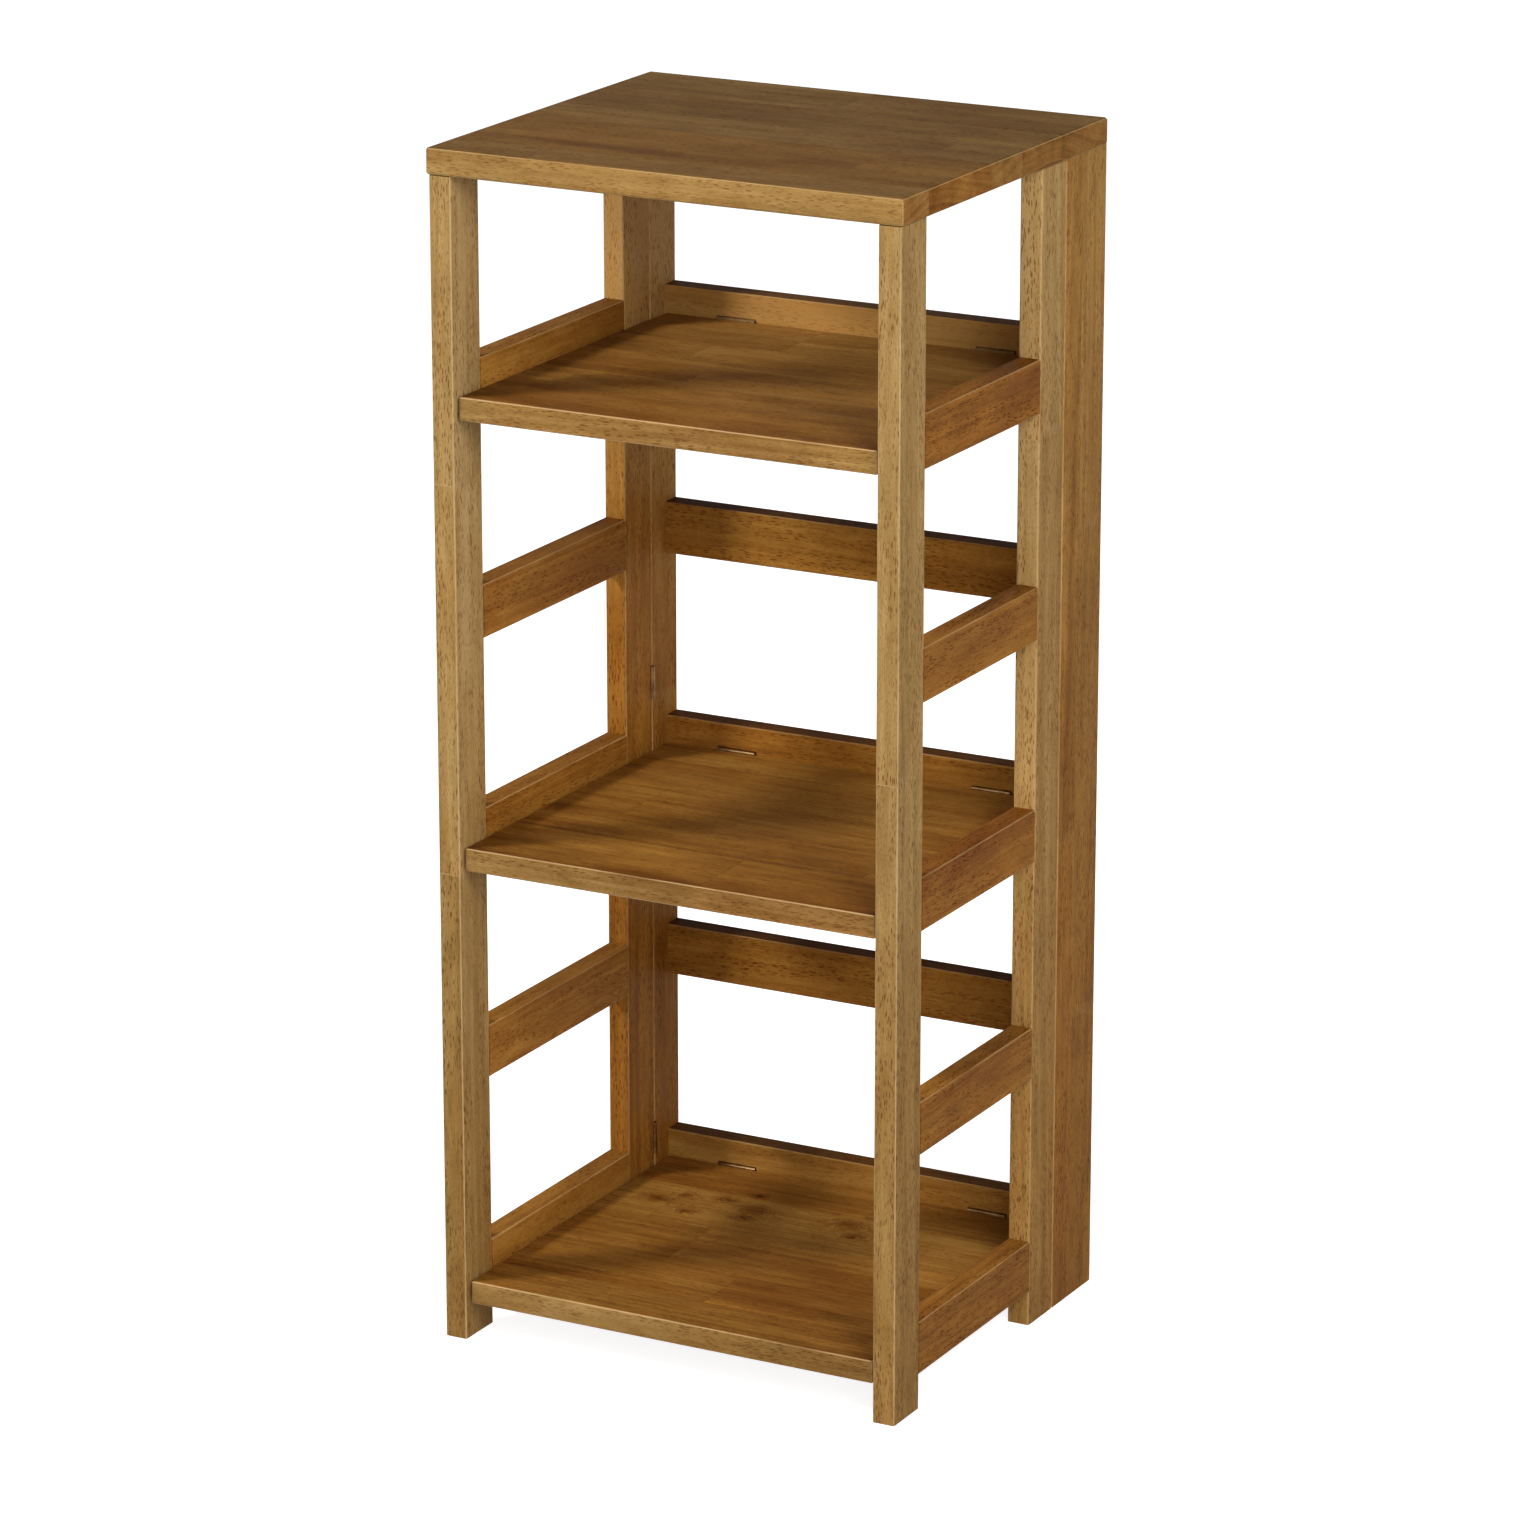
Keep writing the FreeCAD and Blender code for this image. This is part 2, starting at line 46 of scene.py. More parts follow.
class Graph:
    """One node tree. A value given to a socket is a number, a tuple or another node's output."""

    def __init__(self, tree):
        self.tree = tree
        tree.nodes.clear()

    def add(self, kind, **settings):
        node = self.tree.nodes.new(kind)
        for name, value in settings.items():
            setattr(node, name, value)
        return node

    def feed(self, socket, value):
        if isinstance(value, bpy.types.NodeSocket):
            self.tree.links.new(value, socket)
        else:
            socket.default_value = value

    def math(self, operation, *values, clamp=False):
        node = self.add("ShaderNodeMath", operation=operation, use_clamp=clamp)
        for socket, value in zip(node.inputs, values):
            self.feed(socket, value)
        return node.outputs[0]

    def vector(self, operation, *values):
        node = self.add("ShaderNodeVectorMath", operation=operation)
        for socket, value in zip(node.inputs, values):
            self.feed(socket, value)
        return node.outputs[1 if operation in ("LENGTH", "DOT_PRODUCT") else 0]

    def split(self, value):
        node = self.add("ShaderNodeSeparateXYZ")
        self.feed(node.inputs[0], value)
        return node.outputs[0], node.outputs[1], node.outputs[2]

    def join(self, x, y, z):
        node = self.add("ShaderNodeCombineXYZ")
        for socket, value in zip(node.inputs, (x, y, z)):
            self.feed(socket, value)
        return node.outputs[0]

    def noise(self, place, stretch, detail=2.0, roughness=0.5):
        """Soft noise that repeats about as often in a metre as stretch says, each way."""
        node = self.add("ShaderNodeTexNoise")
        self.feed(node.inputs["Vector"], self.vector("MULTIPLY", place, stretch))
        self.feed(node.inputs["Scale"], 1.0)
        self.feed(node.inputs["Detail"], detail)
        self.feed(node.inputs["Roughness"], roughness)
        return node.outputs["Fac"]

    def wander(self, place, stretch, reach):
        """A place moved by soft noise, by at most half of reach each way."""
        offset = self.noise(place, stretch).node.outputs["Color"]
        offset = self.vector("SUBTRACT", offset, (0.5, 0.5, 0.5))
        return self.vector("ADD", place, self.vector("MULTIPLY", offset, reach))

    def noise_line(self, place, detail=2.0):
        node = self.add("ShaderNodeTexNoise", noise_dimensions="1D")
        self.feed(node.inputs["W"], place)
        self.feed(node.inputs["Scale"], 1.0)
        self.feed(node.inputs["Detail"], detail)
        return node.outputs["Fac"]

    def cells(self, place, stretch):
        node = self.add("ShaderNodeTexVoronoi")
        self.feed(node.inputs["Vector"], self.vector("MULTIPLY", place, stretch))
        self.feed(node.inputs["Scale"], 1.0)
        return node.outputs["Distance"]

    def turn(self, place, angles):
        node = self.add("ShaderNodeMapping")
        self.feed(node.inputs["Vector"], place)
        self.feed(node.inputs["Rotation"], angles)
        return node.outputs["Vector"]

    def scatter(self, place):
        """A number and a colour that jump from one place to the next."""
        node = self.add("ShaderNodeTexWhiteNoise")
        self.feed(node.inputs["Vector"], place)
        return node.outputs["Value"], node.outputs["Color"]

    def fade(self, value, start, end, first=0.0, last=1.0):
        """Goes smoothly from first to last while the value goes from start to end."""
        node = self.add("ShaderNodeMapRange", interpolation_type="SMOOTHSTEP")
        for socket, number in zip(node.inputs, (value, start, end, first, last)):
            self.feed(socket, number)
        return node.outputs[0]

    def mix(self, amount, first, second, blend="MIX"):
        node = self.add("ShaderNodeMix", data_type="RGBA", blend_type=blend)
        self.feed(node.inputs["Factor"], amount)
        self.feed(node.inputs[6], first)
        self.feed(node.inputs[7], second)
        return node.outputs[2]

    def tint(self, amount, shade, by):
        """A shade multiplied by a colour, as far as the amount says."""
        return self.mix(amount, shade, by, "MULTIPLY")

    def ramp(self, value, stops):
        """A colour by the value. A stop is a value and a colour as a screen shows it."""
        node = self.add("ShaderNodeValToRGB")
        self.feed(node.inputs[0], value)
        while len(node.color_ramp.elements) < len(stops):
            node.color_ramp.elements.new(1.0)
        for element, (place, shade) in zip(node.color_ramp.elements, stops):
            element.position = place
            element.color = colour(*shade)
        return node.outputs[0]

    def times(self, value, amount):
        return self.math("MULTIPLY", value, amount)

    def centred(self, value, amount):
        """A value between 0 and 1, turned into one between plus and minus half the amount."""
        return self.times(self.math("SUBTRACT", value, 0.5), amount)

    def total(self, *values):
        whole = values[0]
        for value in values[1:]:
            whole = self.math("ADD", whole, value)
        return whole

    def group(self, tree, **values):
        node = self.add("ShaderNodeGroup")
        node.node_tree = tree
        for name, value in values.items():
            self.feed(node.inputs[name], value)
        return node.outputs


def new_group(name, inputs, outputs):
    tree = bpy.data.node_groups.new(name, "ShaderNodeTree")
    for direction, sockets in (("INPUT", inputs), ("OUTPUT", outputs)):
        for socket, kind in sockets.items():
            tree.interface.new_socket(socket, in_out=direction, socket_type="NodeSocket" + kind)
    graph = Graph(tree)
    return graph, graph.add("NodeGroupInput").outputs, graph.add("NodeGroupOutput").inputs


def new_material(name):
    material = bpy.data.materials.new(name)
    material.use_nodes = True
    return material, Graph(material.node_tree)


def new_surface(graph, shade, roughness, height, strength, depth):
    """The surface that a material ends in, with a relief by height that is depth metres deep."""
    surface = graph.add("ShaderNodeBsdfPrincipled")
    output = graph.add("ShaderNodeOutputMaterial")
    bump = graph.add("ShaderNodeBump")
    graph.feed(bump.inputs["Strength"], strength)
    graph.feed(bump.inputs["Distance"], depth)
    graph.feed(bump.inputs["Height"], height)
    graph.feed(surface.inputs["Base Color"], shade)
    graph.feed(surface.inputs["Roughness"], roughness)
    graph.feed(surface.inputs["Normal"], bump.outputs["Normal"])
    graph.feed(output.inputs["Surface"], surface.outputs["BSDF"])
    return surface


def cover(name, material):
    """Gives the CAD piece called name its material."""
    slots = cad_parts[name].data.materials
    slots.clear()
    slots.append(material)


# ---------------------------------------------------------------- stained and lacquered rubberwood

# The stain, from dark wood to pale wood: a tone between 0 and 1, and its colour on a screen.
PALE_STAIN = (
    (0.05, (112, 80, 41)),
    (0.38, (141, 110, 62)),
    (0.62, (158, 127, 77)),
    (0.95, (181, 151, 101)),
)
DEEP_STAIN = (
    (0.05, (92, 55, 18)),
    (0.38, (131, 88, 34)),
    (0.62, (151, 106, 45)),
    (0.95, (177, 132, 63)),
)
# The pale colour of edges: partly wear, partly a painted highlight.
WORN_AND_HIGHLIT_EDGE = colour(210, 178, 130)

# What the wood's colour is multiplied by, in linear numbers.
WARM = (1.0, 0.86, 0.68, 1.0)
PORE = (0.50, 0.35, 0.31, 1.0)
CLOUD = (0.62, 0.50, 0.42, 1.0)
END_GRAIN = (0.84, 0.70, 0.54, 1.0)
GLUE_LINE = (0.70, 0.60, 0.52, 1.0)
KNOT = (0.58, 0.42, 0.28, 1.0)
# Painted shade on faces that look up.
SHADED_TOP = (0.22, 0.15, 0.09, 1.0)

# How often each pattern repeats in a metre: along the grain, and twice across it.
WANDERING = (3.0, 9.0, 9.0)
BENDS = (1.6, 9.0, 9.0)
BROAD = (2.4, 42.0, 42.0)
MOTTLE = (26.0, 75.0, 75.0)
STREAKS = (13.0, 250.0, 250.0)
FIBRES = (60.0, 1300.0, 1300.0)
HUES = (7.0, 55.0, 55.0)
CLOUDS = (4.0, 11.0, 11.0)
PORE_CROWDS = (10.0, 90.0, 90.0)
LONG_PORES = (125.0, 740.0, 740.0)
SHORT_PORES = (230.0, 1100.0, 1100.0)
RINGS_PER_METRE = 240.0
RING_BEND = 0.03
KNOT_RINGS = 0.026

# Where in its noise each pattern begins, and where it is complete.
CROWDED = (0.32, 0.58)
LONG_PORE = (0.375, 0.23)
SHORT_PORE = (0.32, 0.2)
SHORT_PORE_DEPTH = 0.6
CLOUDED = (0.44, 0.72)
RUBBED_AND_HIGHLIT_STREAK = (0.2, 0.6)

AMOUNTS = ("Deep", "Tone", "Warmth", "Cloud", "Pores", "End", "Edge", "Line", "Shade", "Ring", "Knot")
FIGURE_INPUTS = {"Place": "Vector"} | {amount: "Float" for amount in AMOUNTS}
FIGURE_OUTPUTS = {"Color": "Color", "Roughness": "Float", "Height": "Float"}

# How far from an edge its wear and painted highlight begin, and how far from it the edge is quite worn and
# highlit.
EDGE_WEAR_AND_HIGHLIGHT = (0.00115, 0.0005)


def growth_rings(graph, place, distance, knot):
    """Rings by the distance from the heart of the tree, bent a little, and more at a knot."""
    bend = graph.centred(graph.noise(place, BENDS, 1.0), RING_BEND)
    layer = graph.total(distance, bend, graph.times(knot, KNOT_RINGS))
    return graph.noise_line(graph.times(layer, RINGS_PER_METRE))


def open_pores(graph, grain, amount):
    """Long dark pores in crowds, and short faint ones all over."""
    crowd = graph.fade(graph.noise(grain, PORE_CROWDS), *CROWDED)
    long_pores = graph.times(graph.fade(graph.cells(grain, LONG_PORES), *LONG_PORE), crowd)
    short_pores = graph.fade(graph.cells(grain, SHORT_PORES), *SHORT_PORE, 0.0, SHORT_PORE_DEPTH)
    return graph.times(graph.math("MAXIMUM", long_pores, short_pores), amount)


def make_figure():
    """Colour, roughness and relief of a board. Place is in metres with X along the grain."""
    graph, given, made = new_group("wood_figure", FIGURE_INPUTS, FIGURE_OUTPUTS)
    place = given["Place"]
    grain = graph.wander(place, WANDERING, (0.0, 0.014, 0.014))
    rings = growth_rings(graph, place, given["Ring"], given["Knot"])
    broad = graph.noise(grain, BROAD, 3.0)
    mottle = graph.noise(grain, MOTTLE, 3.0, 0.6)
    streaks = graph.noise(grain, STREAKS, 3.0, 0.6)
    fibres = graph.noise(grain, FIBRES)
    hue = graph.noise(grain, HUES, 3.0)
    pores = open_pores(graph, grain, given["Pores"])

    ring_depth = graph.total(graph.fade(given["End"], 0.0, 1.0, 0.4, 0.9), graph.times(given["Knot"], 1.2))
    tone = graph.total(
        0.5,
        graph.centred(broad, 0.6),
        graph.centred(mottle, 0.55),
        graph.centred(streaks, 0.42),
        graph.centred(fibres, 0.42),
        graph.centred(rings, ring_depth),
        graph.times(given["Tone"], 0.22),
        graph.times(given["Knot"], -0.14),
    )
    wood = graph.mix(given["Deep"], graph.ramp(tone, PALE_STAIN), graph.ramp(tone, DEEP_STAIN))
    warmth = graph.total(graph.centred(hue, 1.5), given["Warmth"], 0.35)
    wood = graph.tint(graph.math("MULTIPLY", warmth, 1.0, clamp=True), wood, WARM)
    wood = graph.tint(pores, wood, PORE)
    cloud = graph.fade(graph.noise(place, CLOUDS), *CLOUDED)
    wood = graph.tint(graph.times(cloud, given["Cloud"]), wood, CLOUD)
    wood = graph.tint(given["End"], wood, END_GRAIN)
    wood = graph.tint(given["Line"], wood, GLUE_LINE)
    wood = graph.tint(graph.times(given["Knot"], given["Knot"]), wood, KNOT)
    # Painted shade on the faces that look up.
    wood = graph.tint(given["Shade"], wood, SHADED_TOP)
    # Pale edges: partly wear, partly a painted highlight along the arrises.
    rubbed_and_highlit = graph.times(given["Edge"], graph.fade(streaks, *RUBBED_AND_HIGHLIT_STREAK, 0.2, 0.7))
    graph.feed(made["Color"], graph.mix(rubbed_and_highlit, wood, WORN_AND_HIGHLIT_EDGE))

    roughness = graph.total(
        0.46,
        graph.centred(streaks, 0.12),
        graph.centred(broad, 0.06),
        graph.times(pores, 0.2),
        graph.times(given["End"], 0.12),
        graph.times(given["Edge"], -0.08),
    )
    graph.feed(made["Roughness"], roughness)
    height = graph.total(
        graph.centred(fibres, 0.5),
        graph.centred(streaks, 0.6),
        graph.times(pores, -1.0),
        graph.times(given["Line"], -0.8),
    )
    graph.feed(made["Height"], height)
    return graph.tree


def make_edges():
    """1 along the eased edges of a board, whose lowest and highest corners are given, and 0 elsewhere."""
    inputs = {"Point": "Vector", "Low": "Vector", "High": "Vector"}
    graph, given, made = new_group("board_edges", inputs, {"Edge": "Float"})
    from_low = graph.vector("SUBTRACT", given["Point"], given["Low"])
    from_high = graph.vector("SUBTRACT", given["High"], given["Point"])
    x, y, z = graph.split(graph.vector("MINIMUM", from_low, from_high))
    second_nearest = graph.math("MINIMUM", graph.math("MAXIMUM", x, y), z)
    second_nearest = graph.math("MAXIMUM", graph.math("MINIMUM", x, y), second_nearest)
    graph.feed(made["Edge"], graph.fade(second_nearest, *EDGE_WEAR_AND_HIGHLIGHT))
    return graph.tree


figure = make_figure()
edges = make_edges()

AXIS = {"X": (1.0, 0.0, 0.0), "Y": (0.0, 1.0, 0.0), "Z": (0.0, 0.0, 1.0)}
TURN_TO_GRAIN = {"X": (0.0, 0.0, 0.0), "Y": (0.0, 0.0, -math.pi / 2), "Z": (0.0, math.pi / 2, 0.0)}
GRAIN_TILT = 0.012

# The fingers of a joint, and its glue: how far off the line ends, and how far it is still dark.
FINGER_DEPTH = 0.008
FINGER_HALF_PITCH = 0.002
STICK_GLUE = (0.0006, 0.0001)
SEAM_GLUE = (0.0005, 0.0001)
PIECE_GLUE = (0.0008, 0.0002)

# How much lengths of wood differ: in tone, and in where the heart of the tree was, across the board.
STICK_SPREAD = (0.45, 0.12)
PANEL_SPREAD = (0.5, 0.5)
# The same for both: in warmth, in the height of the heart, and in the place in the pattern.
WARMTH_SPREAD = 0.35
HEART_HEIGHT_SPREAD = 0.14
CUT_SPREAD = (3.0, 0.7, 0.7)

# Where in the pattern a board is cut, in steps of its seed, and what keeps its random pieces apart.
CUT_START = (1.0, 0.37, 0.61)
STICK_ROW = 3.7
START_ROW = 0.5
START_REACH = 7.0

# How much of a direction a face looks in: where an effect begins, and where it is complete.
WIDE_FACE = (0.5, 0.8)
RIGHT_FACE = (0.5, 0.8)
UPPER_FACE = (0.6, 0.9)
END_FACE = (0.6, 0.9)

# Where painted light makes the stain paler or darker, in metres: up a post, near its top, and back and
# outwards on a panel.
POST_HEIGHT = 0.845
POST_TOP = (0.5, 0.76)
PANEL_BACK = (-0.15, 0.14)
PANEL_ENDS = (0.11, 0.157)
# How much painted light changes a post on the way up: in how dark the stain looks, in tone and in warmth.
POST_PAINTED_LIGHT = (-0.35, 0.5, -0.6)

# A knot: the waves in its outline, how far they bend it, how long and wide it is, and where it ends.
KNOT_WAVES = (110.0, 110.0, 0.0)
KNOT_BEND = (0.016, 0.014, 0.0)
KNOT_SHAPE = (0.5, 0.72)
KNOT_END = 1.6

# Posts glued face to face: how far past the glued face their box goes, so that no worn edge or painted
# highlight shows there.
GLUED_REAR = {"back_spacer_right": 0.01}
GLUED_FRONT = {"back_post_right": 0.01}

# How far from the middle of a post its two kinds of edge wear and painted highlight meet, and how deep the
# relief of wood is.
RUB_AND_HIGHLIGHT_CHANGE = 0.002
WOOD_RELIEF = 0.00012


def fingered(graph, along, across):
    """A place along the grain, moved in a zigzag, so that a joint there has fingers."""
    zigzag = graph.math("PINGPONG", across, FINGER_HALF_PITCH)
    return graph.total(along, graph.times(zigzag, FINGER_DEPTH / FINGER_HALF_PITCH))


def add_glue_line(graph, line, value, place, glue):
    near = graph.math("ABSOLUTE", graph.math("SUBTRACT", value, place))
    return graph.math("MAXIMUM", line, graph.fade(near, *glue))


def stick_pieces(graph, along, across, breaks, seed):
    """Lengths of wood, finger-jointed at breaks: a number and a colour for each, and its glue lines."""
    along = fingered(graph, along, across)
    index = seed
    line = 0.0
    for place in breaks:
        index = graph.total(index, graph.math("GREATER_THAN", along, place))
        line = add_glue_line(graph, line, along, place, STICK_GLUE)
    value, shades = graph.scatter(graph.join(index, seed, STICK_ROW))
    return value, shades, line


def panel_pieces(graph, along, across, through, seams, length, seed):
    """Strips glued at seams, each finger-jointed from lengths of wood: the same three values for them."""
    strip = 0.0
    line = 0.0
    for place in seams:
        strip = graph.total(strip, graph.math("GREATER_THAN", across, place))
        line = add_glue_line(graph, line, across, place, SEAM_GLUE)
    start = graph.scatter(graph.join(strip, seed, START_ROW))[0]
    along = fingered(graph, along, through)
    turn = graph.total(graph.math("DIVIDE", along, length), graph.times(start, START_REACH))
    part = graph.math("FLOOR", turn)
    inside = graph.times(graph.math("SUBTRACT", turn, part), length)
    line = graph.math("MAXIMUM", line, graph.fade(inside, *PIECE_GLUE))
    value, shades = graph.scatter(graph.join(strip, part, seed))
    return value, shades, line


def edge_box(name, grain, panel):
    """The corners of a board's box, moved outwards where it has no worn edge and no painted highlight."""
    low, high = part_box(name)
    if not panel:
        index = "XYZ".index(grain)
        low[index] -= 1
        high[index] += 1
    low[1] -= GLUED_FRONT.get(name, 0.0)
    high[1] += GLUED_REAR.get(name, 0.0)
    return low, high


def by_face(graph, wide, level):
    """The same number all over, or of a pair the first on the edges and the second on the wide faces."""
    return graph.fade(wide, 0.0, 1.0, *level) if isinstance(level, tuple) else level


def paint_post_light(graph, height, rightward, deep, tone, warmth, fade, right_side):
    """Painted light: paler and cooler towards the top, and a paler or darker face on the right."""
    rise = graph.fade(height, 0.0, POST_HEIGHT, -0.5, 0.5)
    top = graph.fade(height, *POST_TOP, 0.0, fade)
    right_face = graph.fade(rightward, *RIGHT_FACE, 0.0, right_side)
    less_deep, paler, cooler = POST_PAINTED_LIGHT
    deep = graph.total(deep, graph.times(rise, less_deep), graph.times(top, less_deep))
    tone = graph.total(tone, graph.times(rise, paler), top, right_face)
    return deep, tone, graph.total(warmth, graph.times(rise, cooler))


def paint_panel_light(graph, point, wide, tone, fade):
    """Painted light and shade: paler wide faces towards the rear, and darker ones at both ends, standing
    for the side rails' shadow.
    """
    x, y = graph.split(point)[:2]
    ends = graph.fade(graph.math("ABSOLUTE", x), *PANEL_ENDS, 0.0, fade)
    paler = graph.math("SUBTRACT", graph.fade(y, *PANEL_BACK, -fade, fade), ends)
    return graph.total(tone, graph.times(paler, wide))


def knot_depth(graph, point, knots):
    """0 in plain wood, up to 1 in the middle of a knot. A knot is an x, a y and a radius."""
    if not knots:
        return 0.0
    swirl = graph.wander(point, KNOT_WAVES, KNOT_BEND)
    along, across = KNOT_SHAPE
    depth = 0.0
    for x, y, radius in knots:
        away = graph.vector("SUBTRACT", swirl, (x, y, 0.0))
        away = graph.vector("MULTIPLY", away, (along / radius, across / radius, 0.0))
        depth = graph.math("MAXIMUM", depth, graph.fade(graph.vector("LENGTH", away), KNOT_END, 0.0))
    return depth


def strip_hue(graph, across, reds):
    """How much warmer each strip is: a strip lies between two places across the grain."""
    hue = 0.0
    for start, finish, amount in reds:
        after = graph.math("GREATER_THAN", across, start)
        before = graph.math("LESS_THAN", across, finish)
        hue = graph.total(hue, graph.times(graph.times(after, before), amount))
    return hue


def finish_wood(graph, shade, roughness, height, strength):
    surface = new_surface(graph, shade, roughness, height, strength, WOOD_RELIEF)
    surface.inputs["IOR"].default_value = 1.45
    surface.inputs["Specular IOR Level"].default_value = 0.025


def wood(
    name,
    grain,
    deep,
    tone,
    warmth,
    cloud,
    pores=1.0,
    breaks=(),
    seams=(),
    length=0.31,
    shade=0.0,
    rub_and_highlight=0.6,
    fade=0.0,
    right_side=0.0,
    knots=(),
    reds=(),
):
    """Gives the board called name its own cut of the same stained wood, with the grain along an axis.

    deep is how dark the stain took, tone how pale the wood is, and pores how plain the pores are:
    one number for each, or one for the edges and one for the wide faces.
    warmth is how red the wood is, and cloud how plain its darker patches are.
    breaks are finger joints of a stick. A panel has seams instead, between strips of lengths of wood.
    shade is how much painted shade darkens the faces that look up.
    rub is how pale its edges are, partly by wear and partly by a painted highlight: one number, or one for
    the front edges and one for the rear ones.
    fade is how much painted light makes a post paler near its top, or a panel paler towards its rear
    edge and darker at its ends, and right_side how much paler, as painted light, the face of a post is
    that looks to the right.
    knots are as in knot_depth, and reds as in strip_hue: a start, a finish and how much warmer.
    """
    panel = bool(seams)
    chance = random.Random(name)
    seed = chance.uniform(1, 90)
    material, graph = new_material("wood_" + name)
    source = graph.add("ShaderNodeTexCoord").outputs
    point, normal = source["Object"], source["Normal"]
    tilt = (0.0, chance.uniform(-GRAIN_TILT, GRAIN_TILT), chance.uniform(-GRAIN_TILT, GRAIN_TILT))
    turned = graph.turn(point, tuple(a + b for a, b in zip(TURN_TO_GRAIN[grain], tilt)))
    along, across, through = graph.split(turned)
    if panel:
        value, shades, line = panel_pieces(graph, along, across, through, seams, length, seed)
    else:
        value, shades, line = stick_pieces(graph, along, across, breaks, seed)
    cut = graph.vector("MULTIPLY", shades, CUT_SPREAD)
    cut = graph.vector("ADD", cut, tuple(seed * step for step in CUT_START))

    rearward, height = graph.split(point)[1:]
    upward = graph.split(normal)[2]
    wide = graph.fade(graph.math("ABSOLUTE", upward), *WIDE_FACE)
    deep = by_face(graph, wide, deep)
    tone = by_face(graph, wide, tone)
    if grain == "Z":
        rightward = graph.split(normal)[0]
        deep, tone, warmth = paint_post_light(graph, height, rightward, deep, tone, warmth, fade, right_side)
    elif panel:
        tone = paint_panel_light(graph, point, wide, tone, fade)
    end = graph.math("ABSOLUTE", graph.vector("DOT_PRODUCT", normal, AXIS[grain]))

    # Pale edges: partly wear, partly a painted highlight on the arrises.
    low, high = edge_box(name, grain, panel)
    edge = graph.group(edges, Point=point, Low=tuple(low), High=tuple(high))["Edge"]
    if isinstance(rub_and_highlight, tuple):
        middle = (low[1] + high[1]) / 2
        rub_and_highlight = graph.fade(rearward, middle - RUB_AND_HIGHLIGHT_CHANGE, middle + RUB_AND_HIGHLIGHT_CHANGE, *rub_and_highlight)
    edge = graph.times(edge, rub_and_highlight)
    if not panel:
        edge = graph.math("MAXIMUM", edge, graph.times(line, 0.5))
        line = graph.times(line, 0.3)

    first, second, third = graph.split(shades)
    tone_spread, heart_spread = PANEL_SPREAD if panel else STICK_SPREAD
    heart_side = graph.math("SUBTRACT", across, graph.centred(second, heart_spread))
    heart_rise = graph.math("SUBTRACT", through, graph.centred(third, HEART_HEIGHT_SPREAD))
    look = graph.group(
        figure,
        Place=graph.vector("ADD", turned, cut),
        Deep=deep,
        Tone=graph.total(graph.centred(value, tone_spread), tone),
        Warmth=graph.total(graph.centred(first, WARMTH_SPREAD), strip_hue(graph, across, reds), warmth),
        Cloud=cloud,
        Pores=by_face(graph, wide, pores),
        End=graph.fade(end, *END_FACE),
        Edge=edge,
        Line=line,
        # painted shade on the faces that look up
        Shade=graph.fade(upward, *UPPER_FACE, 0.0, shade),
        Ring=graph.vector("LENGTH", graph.join(0.0, heart_side, heart_rise)),
        Knot=knot_depth(graph, point, knots),
    )
    finish_wood(graph, look["Color"], look["Roughness"], look["Height"], 0.5)
    cover(name, material)


def stain_posts():
    # right_side and fade paint light on the posts: a paler inner face on the left front post, a darker
    # right face beside a paler front on the right rear post, and paler tops on the left rear posts.
    wood(
        "left_front_post", "Z", deep=0.0, tone=0.0, warmth=-0.2, cloud=0.15,
        breaks=(0.350, 0.627), rub_and_highlight=0.85, right_side=1.0,
    )
    wood(
        "right_front_post", "Z", deep=0.0, tone=0.2, warmth=-0.2, cloud=0.15,
        breaks=(0.47,), rub_and_highlight=0.8,
    )
    wood(
        "left_rear_post", "Z", deep=1.0, tone=0.7, warmth=0.6, cloud=0.4,
        breaks=(0.29,), fade=1.6,
    )
    wood(
        "right_rear_post", "Z", deep=0.3, tone=1.6, warmth=0.0, cloud=0.2,
        breaks=(0.66,), rub_and_highlight=(0.45, 1.35), right_side=-1.0,
    )
    wood(
        "back_post_left", "Z", deep=0.9, tone=0.9, warmth=0.4, cloud=0.45,
        breaks=(0.41,), fade=1.5,
    )
    wood(
        "back_post_right", "Z", deep=0.85, tone=0.2, warmth=-0.2, cloud=0.45,
        breaks=(0.22, 0.58),
    )
    wood(
        "back_spacer_right", "Z", deep=1.0, tone=0.25, warmth=0.1, cloud=0.55,
        breaks=(0.36,),
    )


# The rails from the top one down. Left: tone and warmth. Right: tone, warmth and painted shade on their
# tops.
# Back: deep, tone, warmth, pores and finger joints.
LEVELS = range(1, 6)
LEFT_RAILS = ((1.4, 0.45), (0.8, 0.6), (0.8, 0.6), (0.8, 0.6), (1.4, 0.45))
RIGHT_RAILS = (
    (-0.3, 0.6, 0.15),
    (0.15, 0.35, 0.05),
    (0.05, 0.65, 0.0),
    (0.3, 0.35, 0.0),
    (-0.45, 0.25, 0.0),
)
BACK_RAILS = (
    # The first back rail is paler and less deep: partly its own colour, partly a painted sheen.
    (0.5, 2.3, 0.55, 0.5, (0.04,)),
    (1.0, 0.3, 0.2, 1.0, ()),
    (1.0, 0.5, 0.3, 0.8, (0.04,)),
    (1.0, 0.1, 0.3, 1.0, ()),
    (0.9, 0.7, 0.2, 0.8, (0.04,)),
)


